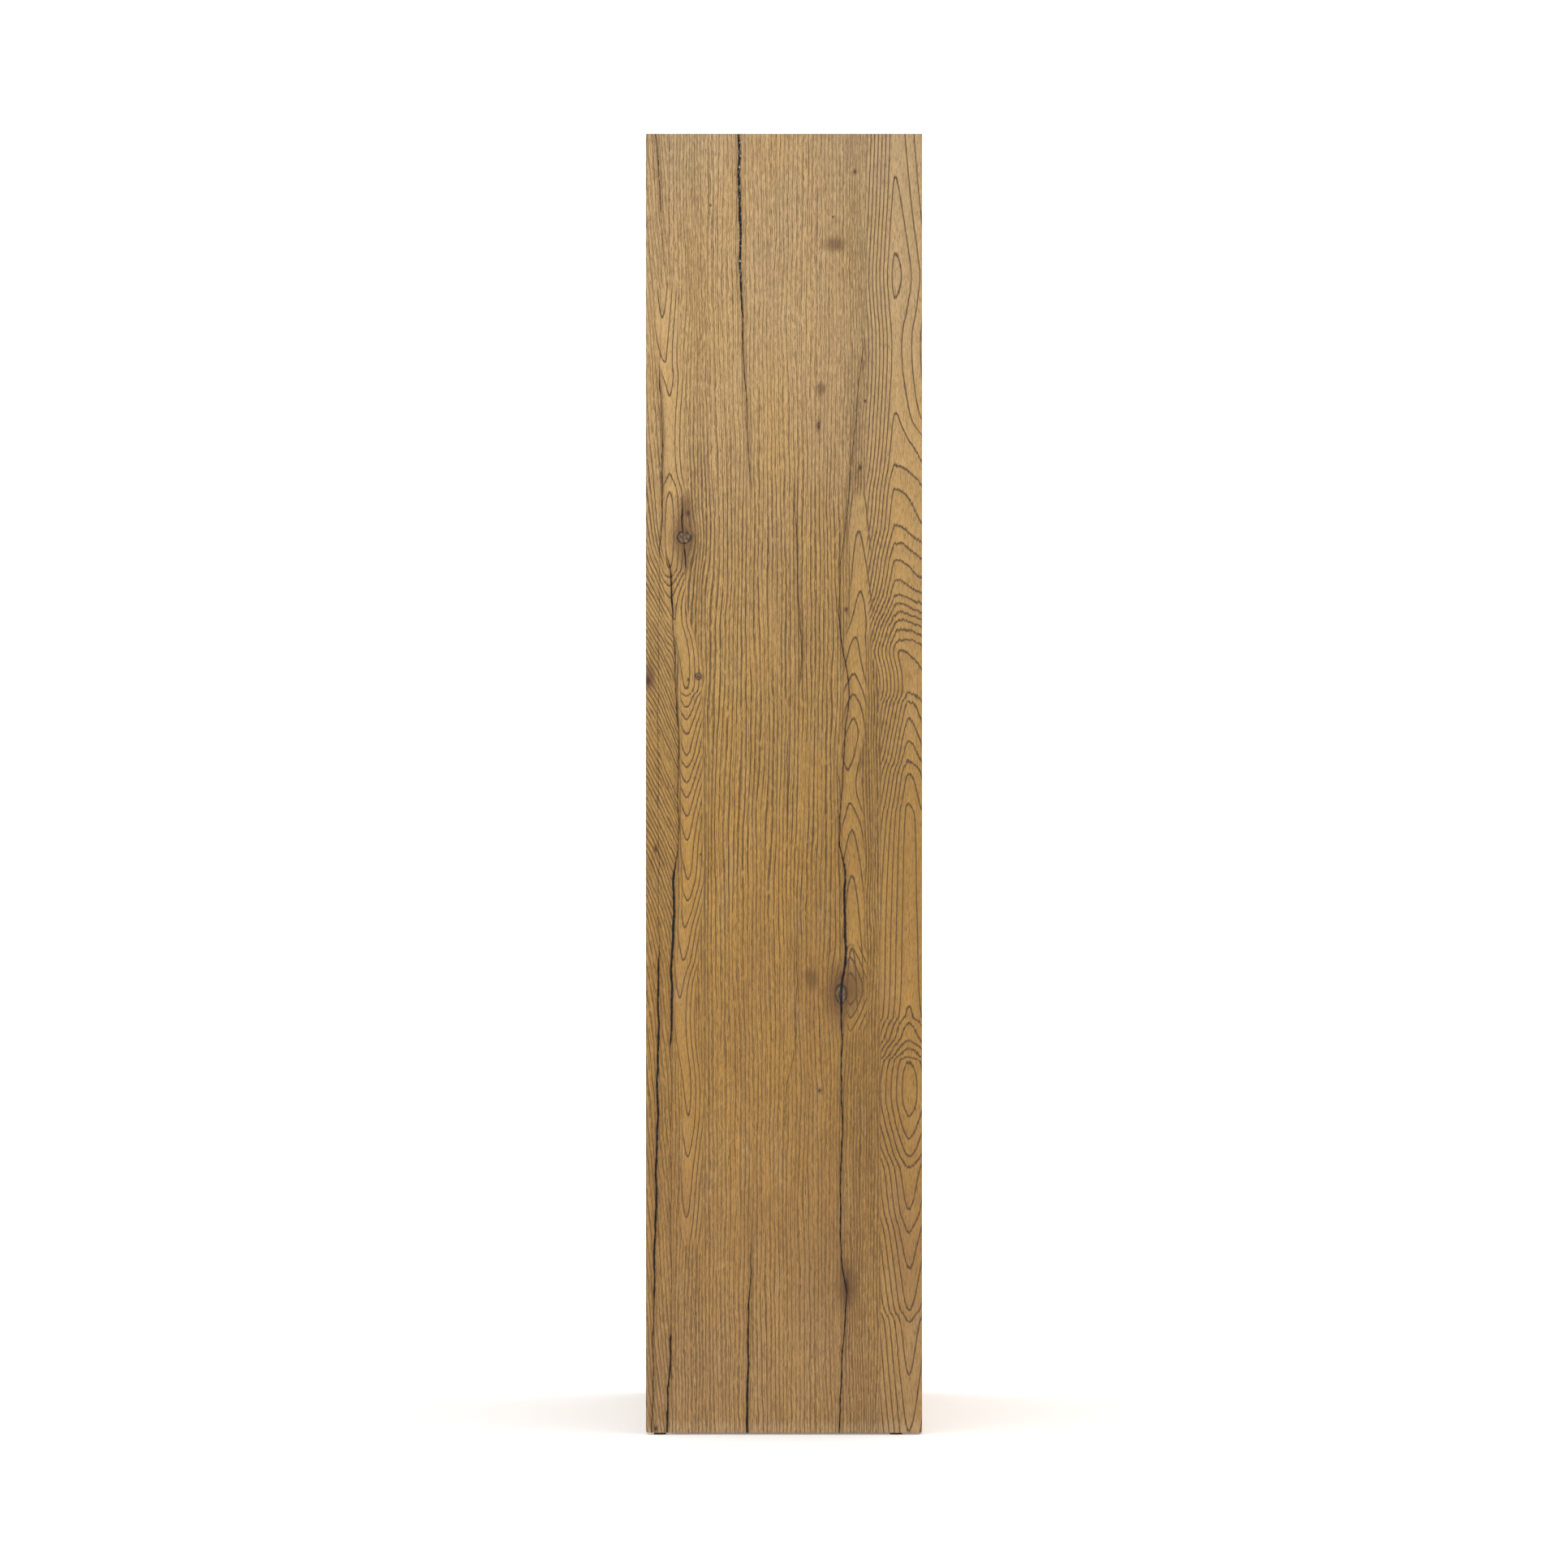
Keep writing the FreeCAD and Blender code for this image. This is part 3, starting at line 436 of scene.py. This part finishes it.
# What sets one board apart. Courses are (v, value) pairs, but for tone and linePitch, which are (u, value).
# Knots, specks and smudges are (v, u, half width, half height).
rightSide = dict(
    face=showFace((outerX, frontY, 0), backwards, upwards, rightwards), length=caseHeight, rampAlong=True,
    seed=3.7,
    tone=[(-30, 1.05), (24, 1.05), (73, 1.055), (126, 1.05), (180, 1.035), (234, 1.02), (287, 0.98),
          (341, 0.955), (388, 0.98), (431, 0.965), (480, 0.97)],
    glint=[(0, 0.05), (1500, 0.1), (1850, 0.35), (1960, 0.9), (2153, 1)],
    cracks=[
        dict(course=[(0, 10.7), (225, 13.4), (360, 16.1), (495, 18.8), (630, 20.1), (790, 21.5), (1165, 20.1),
                     (1405, 21.5), (1470, 24.2), (1540, 26.9), (1620, 28.2), (1755, 22.8), (1835, 24.2),
                     (2015, 26.9), (2153, 16.1)],
             halfWidth=[(0, 0.7), (210, 0.8), (240, 1.5), (500, 1.8), (780, 1.4), (820, 0.2), (1440, 0.1),
                        (1490, 0.8), (1740, 0.6), (1780, 0.1), (2000, 0.1), (2050, 0.7), (2153, 0.7)]),
        dict(course=[(0, 34.9), (170, 41.6), (640, 41.6), (765, 43), (855, 45.7), (935, 47), (965, 53.7),
                     (1165, 53.7), (1260, 48.3), (1375, 44.3), (1430, 40.3), (1460, 33.6), (1570, 34.9),
                     (2153, 34.9)],
             halfWidth=[(0, 1.5), (150, 1.4), (190, 0.2), (620, 0.2), (650, 1.3), (780, 2), (930, 1.7),
                        (970, 0.6), (1340, 0.6), (1380, 1.4), (1440, 1.1), (1480, -0.3), (2153, -0.4)]),
        dict(course=[(0, 167.9), (160, 169.2), (285, 173.2), (495, 180), (1165, 180), (1540, 174.6),
                     (1650, 169.2), (1755, 163.8), (1835, 159.8), (1920, 157.1), (2000, 155.8),
                     (2105, 154.4), (2153, 153.1)],
             halfWidth=[(0, 1.9), (120, 1.6), (300, 0.5), (420, -0.2), (1500, -0.2), (1600, 0.5), (1800, 0.9),
                        (1930, 1.9), (2080, 2.2), (2153, 2)]),
        dict(course=[(0, 227), (510, 231), (590, 233.7), (640, 248.5), (830, 249.8), (1030, 233.7),
                     (1160, 235), (1260, 259.2), (1365, 253.8), (1565, 245.8), (2153, 236.4)],
             halfWidth=[(0, -0.4), (490, -0.2), (530, 0.2), (810, 0.3), (850, -0.2), (1020, 0), (1050, 0.3),
                        (1150, 0.2), (1200, -0.2), (1270, 0.45), (1550, 0.45), (1620, -0.4), (2153, -0.4)]),
        dict(course=[(0, 321), (90, 322.3), (170, 329), (240, 331.7), (280, 325), (360, 321), (495, 325),
                     (655, 323.7), (730, 323.7), (790, 330.4), (950, 329), (965, 319.6), (1060, 323.7),
                     (1125, 327.7), (1235, 337.1), (1355, 318.3), (1435, 322.3), (1570, 337.1), (1620, 341.1),
                     (1755, 354.6), (1810, 361.3), (2153, 364)],
             halfWidth=[(0, 1.1), (640, 1.1), (700, 1.5), (760, 2.1), (940, 1.8), (975, 0.8), (1330, 0.9),
                        (1370, 0.45), (1800, 0.35), (1840, -0.4), (2153, -0.4)]),
        dict(course=[(0, 66), (1435, 66), (1470, 64), (1485, 63), (1500, 61), (1535, 59.5), (2153, 59.5)],
             halfWidth=[(0, -0.5), (1400, -0.5), (1432, 0.1), (1462, 1.1), (1476, 0.4), (1494, 0.4),
                        (1512, 1.2), (1536, 0.5), (1560, 0), (1600, -0.5), (2153, -0.5)]),
    ],
    slantCrack=1,
    slant=[(0, 0), (400, 40), (790, 79), (920, 118), (1100, 201), (1280, 284), (1460, 366), (1530, 380),
           (2153, 440)],
    lineStrength=[(0, 0.68), (650, 0.66), (850, 0.8), (1000, 0.95), (1450, 0.95), (1650, 0.66), (1850, 0.5),
                  (2153, 0.5)],
    linePitch=[(-40, 6), (45, 6), (90, 4.8), (125, 7.2), (310, 7.2), (350, 4.6), (500, 4.6)],
    knots=[(1485, 63, 11, 9.5), (730, 323, 9, 15), (1255, 87, 4.5, 5)],
    specks=[(1525, 70, 4, 5), (1250, 70, 2.2, 3), (1248, 3, 5, 8), (970, 16, 3, 6), (960, 91, 1.8, 2.5),
            (1255, 87, 2, 2.4), (728, 322, 5, 10), (2090, 346, 2.4, 4), (1710, 363, 2.5, 3),
            (1670, 286, 3, 9), (1600, 355, 2.5, 5), (1365, 332, 3, 4), (570, 287, 2.5, 4),
            (245, 332, 4.5, 18), (10, 16, 4, 5), (2035, 107, 1.8, 2), (2015, 310, 1.8, 2)],
    smudges=[(1970, 314, 15, 10), (1730, 290, 6, 9), (1485, 63, 17, 46), (730, 323, 22, 40),
             (755, 274, 9, 14), (245, 332, 14, 34), (742, 338, 20, 30), (1530, 66, 9, 22), (1255, 6, 8, 20)],
    figures=[
        dict(seed=1.0, serration=12.0, swell=14.0, blunt=1.0, leftReach=46, rightReach=60, line=1.7,
             bottom=-40, top=2200,
             axis=[(0, 435), (1200, 435), (1300, 420), (1607, 412), (2153, 412)],
             rings=[(-60, -14.2), (5, -15), (101, -16), (189, -17), (209, -18), (275, -19), (336, -20),
                    (373, -21), (442, -22), (461, -23), (491, -24), (526, -25), (568, -25.6), (618, -25),
                    (627, -24), (643, -23), (653, -22), (680, -21), (690, -20.2), (860, -19.6), (1030, -19.3),
                    (1042, -19), (1096, -18), (1117, -17), (1150, -16), (1185, -15), (1214, -14), (1226, -13),
                    (1299, -12), (1317, -11), (1334, -10), (1348, -9), (1360, -8), (1374, -7), (1389, -6),
                    (1413, -5), (1447, -4), (1475, -3), (1505, -2), (1567, -1), (1607, 0), (1690, 1),
                    (1800, 1.7), (1880, 1), (1918, 0.72), (1956, 1), (2050, 1.8), (2200, 2.6)],
             rightPitch=[(0, 11), (1190, 11), (1240, 26), (1600, 27), (1700, 14), (2153, 13)],
             leftPitch=[(0, 8.5), (800, 8.5), (1200, 6), (2153, 6)]),
        dict(seed=2.0, serration=9.0, swell=8.0, blunt=1.0, leftReach=15, rightReach=19, line=1.7,
             bottom=700, top=1560,
             axis=[(0, 341), (805, 341), (1000, 341), (1100, 334), (1185, 343.8), (1260, 343.8),
                   (1320, 346.5), (1395, 354.6), (1495, 352), (2153, 352)],
             rings=[(700, -8.4), (805, -8), (1000, -6), (1045, -5), (1072, -4.7), (1100, -5), (1142, -5.5),
                    (1185, -5), (1225, -4), (1260, -3), (1320, -2), (1395, -1), (1495, 0), (1600, 1)],
             rightPitch=[(0, 9), (2153, 10)], leftPitch=[(0, 10), (2153, 10)]),
        dict(seed=5.0, serration=8.0, swell=8.0, blunt=1.2, leftReach=9, rightReach=24, line=1.5,
             bottom=320, top=1900,
             axis=[(0, 67), (360, 67), (530, 70), (725, 56), (785, 62), (840, 64.5), (920, 70), (985, 68),
                   (1235, 67), (1350, 47), (1435, 39), (1720, 39), (1775, 31), (1850, 27), (2153, 27)],
             rings=[(300, 25), (360, 24), (460, 23), (530, 22), (725, 21), (785, 20), (840, 19), (885, 18),
                    (920, 17), (985, 16), (1025, 15), (1055, 14), (1080, 13), (1105, 12), (1125, 11),
                    (1160, 10), (1185, 9), (1205, 8), (1225, 7), (1235, 6), (1350, 5), (1385, 4), (1405, 3),
                    (1420, 2), (1435, 1), (1500, 0.6), (1560, 1), (1590, 2), (1640, 2.4), (1720, 2),
                    (1775, 1), (1850, 0), (2000, -1.3)],
             rightPitch=[(0, 6), (2153, 7)], leftPitch=[(0, 7), (2153, 7)]),
        dict(seed=7.0, serration=5.0, swell=6.0, blunt=0.6, leftReach=5, rightReach=26, line=1.5,
             bottom=668, top=812,
             axis=[(0, 338), (2153, 338)],
             rings=[(640, 4), (668, 3), (690, 2), (712, 1), (738, 0.3), (765, 1), (790, 2), (812, 3),
                    (840, 4)],
             rightPitch=[(0, 9), (2153, 9)], leftPitch=[(0, 6), (2153, 6)]),
    ],
)


def otherBoard(seed, side, width, length, figureAt=0.5):
    # A board of the same oak, with its cracks, knots and arches placed by a seeded draw
    draw = np.random.default_rng(int(seed * 10))

    def spaced(values):  # values at even steps along the board
        return list(zip(np.linspace(0, length, len(values)).tolist(), values.tolist()))

    def walk(start, spread, margin):  # a course that wanders step by step, and keeps off the edges
        return spaced(np.clip(start + np.cumsum(draw.normal(0, spread, 9)), margin, width - margin))

    def spots(sizes, stretch):
        return [(float(draw.uniform(0.05, 0.95) * length), float(draw.uniform(0.05, 0.95) * width), size,
                 float(size * draw.uniform(1, stretch))) for size in sizes]

    cracks = []
    for share in (np.arange(3) + draw.uniform(0.15, 0.85, 3)) / 3:
        thickness = spaced(draw.choice([-0.4, -0.3, 0.4, 0.9, 1.5], 12))
        cracks.append(dict(course=walk(share * width, 4.0, 3), halfWidth=thickness))
    knots = spots((10, 7), 1.8)

    # Rings: 26 heights up the board, and numbers that fall to nought at the turn and rise again
    count, turn = 26, int(draw.integers(8, 18))
    heights = np.sort(draw.uniform(0, 1, count)) * length * 0.7 + np.linspace(0, 0.3, count) * length
    numbers = np.abs(np.arange(count) - turn).astype(float)
    figure = dict(seed=seed, serration=10.0, swell=14.0, blunt=1.0, leftReach=0.16 * width,
                  rightReach=0.24 * width, line=1.6, bottom=0, top=length,
                  axis=walk(figureAt * width, 3.0, 20), rings=list(zip(heights.tolist(), numbers.tolist())),
                  rightPitch=[(0, 9), (length / 2, 18), (length, 12)], leftPitch=[(0, 8), (length, 8)])
    tones = list(zip(np.linspace(-30, width + 30, 7).tolist(), draw.uniform(0.94, 1.04, 7).tolist()))
    specks = spots((4, 3, 2.5, 2, 2), 3)
    smudges = spots((13, 10, 8), 3)
    return dict(face=side, length=length, rampAlong=False, seed=seed, tone=tones,
                glint=[(0, 0.2), (length / 2, 0.6), (length, 0.1)],
                cracks=cracks, knots=knots, specks=specks, figures=[figure],
                smudges=smudges + [(v, u, halfU * 2, halfV * 3) for v, u, halfU, halfV in knots],
                lineStrength=[(0, 0.6), (length * 0.4, 0.85), (length * 0.7, 0.7), (length, 0.8)],
                linePitch=[(-40, 5), (width * 0.3, 7.5), (width * 0.7, 6), (width + 40, 4.6)])


def edges(node):
    low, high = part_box(node)
    return low / mm, high / mm


doorLow, doorHigh = edges("door_right")
lowerLow = edges("drawer_front_lower")[0]
upperLow, upperHigh = edges("drawer_front_upper")
doorWidth, doorLength = doorHigh.x - doorLow.x, doorHigh.z - doorLow.z
frontWidth, frontLength = upperHigh.z - upperLow.z, upperHigh.x - upperLow.x

boards = {
    "side_panel_right": rightSide,
    "side_panel_left": otherBoard(
        8.3, showFace((-outerX, frontY, 0), backwards, upwards, leftwards), caseDepth, caseHeight, 0.6),
    "door_right": otherBoard(
        12.9, showFace((doorLow.x, frontY, doorLow.z), rightwards, upwards, forwards),
        doorWidth, doorLength, 0.45),
    "door_left": otherBoard(
        21.4, showFace((-doorLow.x, frontY, doorLow.z), leftwards, upwards, forwards),
        doorWidth, doorLength, 0.55),
    "drawer_front_upper": otherBoard(
        33.1, showFace((upperLow.x, frontY, upperLow.z), upwards, rightwards, forwards),
        frontWidth, frontLength),
    "drawer_front_lower": otherBoard(
        44.6, showFace((lowerLow.x, frontY, lowerLow.z), upwards, rightwards, forwards),
        frontWidth, frontLength),
    "top_panel": otherBoard(
        52.2, showFace((-outerX, frontY, caseHeight), backwards, rightwards, upwards),
        caseDepth, caseWidth, 0.4),
}

crackCut = dict(step=5.0, least=0.12, above=0.25, depth=0.55, deeper=0.5, overrun=6.0, margin=0.1, flare=1.3)
knotDish = dict(centre=0.7, radius=1.5, share=0.95, poleGap=0.08, rows=13, around=28)
carving = dict(weld=1e-6, flat=0.9995, sharpDegrees=32)


def surface(board, u, v, out):
    # Places on or near a board's show face, in metres: corner + u * across + v * along + out * out
    side = board["face"]
    distances = zip((u, v, out), ("across", "along", "out"))
    offset = sum(np.ravel(distance)[:, None] * side[way] for distance, way in distances)
    return (side["origin"] + offset) * mm


def prism(rows, around):  # faces of a grid of rows, each row a closed ring, with both ends capped
    row, step = np.meshgrid(np.arange(rows - 1), np.arange(around), indexing="ij")
    following = (step + 1) % around
    corners = [row * around + step, row * around + following, (row + 1) * around + following,
               (row + 1) * around + step]
    sides = np.stack([c.ravel() for c in corners], 1).tolist()
    return sides + [list(range(around))[::-1], list(range((rows - 1) * around, rows * around))]


def grooves(board):
    # Cracks as V-shaped prisms. At each station the lips stand to either side, just above the face, and the
    # root lies deeper where the crack is wider: depth + deeper * half width.
    parts = []
    for crack in board["cracks"]:
        v = np.arange(-crackCut["overrun"], board["length"] + crackCut["overrun"], crackCut["step"])
        half = reading(crack["halfWidth"], v)
        opened = np.flatnonzero(half > crackCut["least"])
        for run in np.split(opened, np.flatnonzero(np.diff(opened) > 1) + 1):
            if len(run) > 2:
                middle, wide = crackLine(crack, v[run]), half[run] + crackCut["margin"]
                lip = np.full(len(run), crackCut["above"])
                root = -(crackCut["depth"] + crackCut["deeper"] * wide)
                spread = wide * crackCut["flare"]
                u = np.stack([middle - spread, middle + spread, middle], 1)
                out = np.stack([lip, lip, root], 1)
                parts.append((surface(board, u, np.repeat(v[run], 3), out), prism(len(run), 3)))
    return parts


def dishes(board):
    # Knots as shallow hollows: a flattened ball whose centre stands above the face.
    # Across and along it is sin(latitude) times cos and sin of the turn, and its height is cos(latitude).
    parts = []
    rows, around, share = knotDish["rows"], knotDish["around"], knotDish["share"]
    latitude, turn = np.meshgrid(np.linspace(knotDish["poleGap"], math.pi - knotDish["poleGap"], rows),
                                 np.arange(around) * 2 * math.pi / around, indexing="ij")
    height = knotDish["centre"] + knotDish["radius"] * np.cos(latitude)
    for knotV, knotU, halfU, halfV in board["knots"]:
        u = knotU + halfU * share * np.sin(latitude) * np.cos(turn)
        v = knotV + halfV * share * np.sin(latitude) * np.sin(turn)
        parts.append((surface(board, u, v, height), prism(rows, around)))
    return parts


def added(name, data):
    thing = bpy.data.objects.new(name, data)
    bpy.context.scene.collection.objects.link(thing)
    return thing


def cutterOf(points, faces):  # one closed piece, turned to face outwards
    mesh = bpy.data.meshes.new("cutter")
    mesh.from_pydata(points.tolist(), [], faces)
    build = bmesh.new()
    build.from_mesh(mesh)
    bmesh.ops.recalc_face_normals(build, faces=build.faces)
    build.to_mesh(mesh)
    build.free()
    return added("cutter", mesh)


def welded(node):
    # A copy of the board's own mesh with its corners joined, and its volume. Stored normals don't survive a
    # carving, so they go.
    mesh = nodes[node].data.copy()
    for attribute in [a for a in mesh.attributes if "normal" in a.name]:
        mesh.attributes.remove(attribute)
    build = bmesh.new()
    build.from_mesh(mesh)
    bmesh.ops.remove_doubles(build, verts=build.verts, dist=carving["weld"])
    volume = build.calc_volume()
    build.to_mesh(mesh)
    build.free()
    return mesh, volume


def carvedBoard(node, board):
    # The board's own solid, with its cracks and knots cut into the show face one at a time
    mesh, whole = welded(node)
    piece = added(node.replace("_panel", "") + "_board", mesh)
    for points, faces in grooves(board) + dishes(board):
        cutter = cutterOf(points, faces)
        boolean = piece.modifiers.new("carve", "BOOLEAN")
        boolean.operation, boolean.object, boolean.solver = "DIFFERENCE", cutter, "EXACT"
        evaluated = piece.evaluated_get(bpy.context.evaluated_depsgraph_get())
        carved = bpy.data.meshes.new_from_object(evaluated)
        piece.modifiers.clear()
        piece.data = carved
        bpy.data.objects.remove(cutter)

    build = bmesh.new()
    build.from_mesh(piece.data)
    left, gaps = build.calc_volume(), sum(not edge.is_manifold for edge in build.edges)
    build.free()

    # Flat faces stay flat: one axis takes up the whole of their normal. Arrises, holes and cracks are smooth.
    ways = np.zeros(len(piece.data.polygons) * 3)
    piece.data.polygons.foreach_get("normal", ways)
    rounded = np.abs(ways.reshape(-1, 3)).max(1) < carving["flat"]
    piece.data.polygons.foreach_set("use_smooth", rounded)
    piece.data.set_sharp_from_angle(angle=math.radians(carving["sharpDegrees"]))
    piece.data.materials.clear()
    piece.data.materials.append(OakBoard("oak_" + node, board).material)
    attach(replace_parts(piece, node), nodes[node]["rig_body"])
    millilitres = (whole - left) * 1e6
    print(f"  {node}: {len(piece.data.polygons)} faces, {millilitres:.1f} ml carved, {gaps} open edges")


for node, board in boards.items():
    carvedBoard(node, board)
print("boards carved:", len(boards))


def steel(name, colour, rough, metallic=1.0):
    # Plated or blackened metal: faint lines from drawing, and clouded roughness
    finish = Finish(name, Metallic=metallic)
    lines = finish.noise(finish.stretched(finish.place, (0.02, 0.02, 1.4)), 3, 0.6)
    clouds = finish.noise(finish.scaled(finish.place, 0.05), 4, 0.6)
    finish.set(BaseColor=finish.scaled(linear(*colour), lines * 0.24 + clouds * 0.2 + 0.78),
               Roughness=(clouds * 0.5 + lines * 0.5) * 0.28 + rough - 0.14,
               Normal=finish.bump(lines, 0.00002))
    return finish.material


def plainGrain(name, light, dark, along, pore=0.5, seed=1.0):
    # Quiet straight-grained wood for the inside: bands, fibres and pores along one direction
    finish = Finish(name, IOR=1.46, SpecularIORLevel=0.35)
    bandScale = tuple(0.004 if step else 0.16 for step in along)
    fineScale = tuple(0.03 if step else 1.3 for step in along)

    def grain(scale, factor, offset, detail=2.0):
        factors = tuple(s * factor for s in scale)
        return finish.noise(finish.stretched(finish.place, factors, (offset, seed, seed * 2)), detail, 0.6)

    bands, fibres, pores = grain(bandScale, 1, 3), grain(fineScale, 0.8, 7, 3), grain(fineScale, 0.7, 13, 1)
    soft = finish.noise(finish.scaled(finish.place, 0.004), 2)
    spots = pores.fade(0.58, 0.72)
    colour = finish.blend(bands.fade(0.3, 0.7), linear(*light), linear(*dark))
    colour = finish.scaled(colour, (fibres - 0.5) * 0.3 + (soft - 0.5) * 0.3 + 1.0)
    colour = finish.blend(spots * pore, colour, linear(*[c * 0.62 for c in dark]))
    finish.set(BaseColor=colour, Roughness=(fibres - 0.5) * 0.2 + 0.55,
               Normal=finish.bump(fibres * 0.4 - spots * 0.6, 0.00025))
    return finish.material


def plywood(name, light, dark, along, thin):
    # Sheet with a veneer face. Its edge shows plies 1.5 mm thick, which lie across the thin direction.
    finish = Finish(name, IOR=1.46, SpecularIORLevel=0.35)
    scale = tuple(0.02 if a else (0.9 if not t else 0.05) for a, t in zip(along, thin))
    figure = finish.noise(finish.stretched(finish.place, scale), 3, 0.6)
    broad = finish.noise(finish.scaled(finish.place, 0.006), 3, 0.6)
    veneer = finish.blend(figure.fade(0.3, 0.75), linear(*light), linear(*dark))
    veneer = finish.scaled(veneer, broad * 0.3 + 0.86)
    plies = (finish.along(finish.place, thin) / 1.5).fraction().fade(0.35, 0.5) * 0.5 + 0.5
    onEdge = abs(finish.along(finish.add("NewGeometry", output="Normal"), thin)).fade(0.6, 0.4)
    colour = finish.blend(onEdge, veneer, finish.scaled(linear(*dark), plies))
    finish.set(BaseColor=colour, Roughness=figure * 0.2 + 0.5, Normal=finish.bump(figure, 0.00015))
    return finish.material


def named(*starts, besides=()):
    return [name for name in nodes if name.startswith(starts) and name not in besides]


def paint(material, names):
    for name in names:
        data = nodes[name].data
        for index in range(len(data.materials)):
            data.materials[index] = material


screws = [name for name in nodes if "screws" in name]
finishes = (
    (plainGrain, "oak_rails", dict(light=(170, 134, 88), dark=(150, 114, 70), along=rightwards),
     ["bottom_panel", "mid_deck", "plinth_front", "plinth_back", "wall_rail",
      *named("shelf_", besides=["shelf_pins"])]),
    (plainGrain, "oak_uprights", dict(light=(168, 132, 86), dark=(148, 112, 68), along=upwards, seed=4.0),
     ["centre_partition", "centre_stile"]),
    (plainGrain, "drawer_sides",
     dict(light=(196, 166, 120), dark=(180, 146, 98), along=backwards, pore=0.3, seed=6.0),
     named("box_side")),
    (plainGrain, "drawer_ends",
     dict(light=(196, 166, 120), dark=(180, 146, 98), along=rightwards, pore=0.3, seed=7.0),
     named("box_front", "box_back")),
    (plywood, "back_ply", dict(light=(186, 152, 104), dark=(160, 122, 76), along=upwards, thin=backwards),
     ["back_panel"]),
    (plywood, "drawer_ply", dict(light=(196, 166, 120), dark=(172, 138, 92), along=rightwards, thin=upwards),
     named("box_bottom")),
    (plainGrain, "beech",
     dict(light=(196, 158, 118), dark=(178, 138, 98), along=rightwards, pore=0.2, seed=9.0),
     ["case_dowels", "mitre_splines"]),
    (steel, "black_steel", dict(colour=(44, 43, 42), rough=0.42), ["pivot_case_leaves", *named("door_leaves")]),
    (steel, "zinc", dict(colour=(176, 178, 182), rough=0.34),
     ["foot_inserts", *named("slide_", besides=screws)]),
    (steel, "bright_screws", dict(colour=(150, 148, 142), rough=0.36), screws),
    (steel, "nickel", dict(colour=(190, 188, 180), rough=0.26),
     ["catch_magnets", "shelf_pins", *named("strike")]),
    (steel, "brass", dict(colour=(190, 152, 84), rough=0.34), ["pivot_washers"]),
    (steel, "foot_black", dict(colour=(36, 36, 37), rough=0.5, metallic=0.6),
     named("foot_", besides=["foot_inserts"])),
)
for make, name, values, parts in finishes:
    paint(make(name, **values), parts)
print("finishes on:", len(bpy.data.materials), "materials")

# Lengths in metres, lens and sensor in millimetres
studio = dict(world=1.06, floor=(250, 250, 250), floorGlow=0.2, floorSize=60.0, lens=200.0, sensor=36.0,
              viewHeight=1.077, frameWidth=2.595, lampPower=50.0, lampSize=4.0, lampPlace=(6.0, -1.5, 5.5),
              lampAim=(0, 0, 1.4))


def floorPlane(steps=9):
    # A flat grid: x and y run over a square, z is nought
    line = np.linspace(-studio["floorSize"], studio["floorSize"], steps)
    x, y = np.meshgrid(line, line)
    points = np.stack([x.ravel(), y.ravel(), np.zeros(x.size)], 1)
    corner = (np.arange(steps - 1)[:, None] * steps + np.arange(steps - 1)).ravel()
    faces = np.stack([corner, corner + 1, corner + steps + 1, corner + steps], 1)
    mesh = bpy.data.meshes.new("floor")
    mesh.from_pydata(points.tolist(), [], faces.tolist())
    finish = Finish("floor_paper", Roughness=0.9, SpecularIORLevel=0.1)
    fleck = finish.noise(finish.scaled(finish.place, 0.02), 2)
    finish.set(BaseColor=finish.scaled(linear(*studio["floor"]), fleck * 0.02 + 0.98),
               EmissionColor=(1, 1, 1, 1), EmissionStrength=studio["floorGlow"])
    mesh.materials.append(finish.material)
    return added("floor", mesh)


lampData = bpy.data.lights.new("key_light", "AREA")
lampData.shape, lampData.size, lampData.energy = "SQUARE", studio["lampSize"], studio["lampPower"]
lamp = added("key_light", lampData)
lamp.location = studio["lampPlace"]
lamp.rotation_euler = (Vector(studio["lampAim"]) - lamp.location).to_track_quat("-Z", "Y").to_euler()
floor = floorPlane()

world = bpy.data.worlds.new("white_room")
world.use_nodes = True
world.node_tree.nodes["Background"].inputs["Color"].default_value = (1, 1, 1, 1)
world.node_tree.nodes["Background"].inputs["Strength"].default_value = studio["world"]
bpy.context.scene.world = world
bpy.context.scene.view_settings.view_transform = "Standard"

cameraData = bpy.data.cameras.new("camera")
cameraData.lens, cameraData.sensor_width = studio["lens"], studio["sensor"]
distance = studio["frameWidth"] * studio["lens"] / studio["sensor"]
camera = added("camera", cameraData)
camera.location = (outerX * mm + distance, 0, studio["viewHeight"])
camera.rotation_euler = (math.radians(90), 0, math.radians(90))
bpy.context.scene.camera = camera
print("studio set")
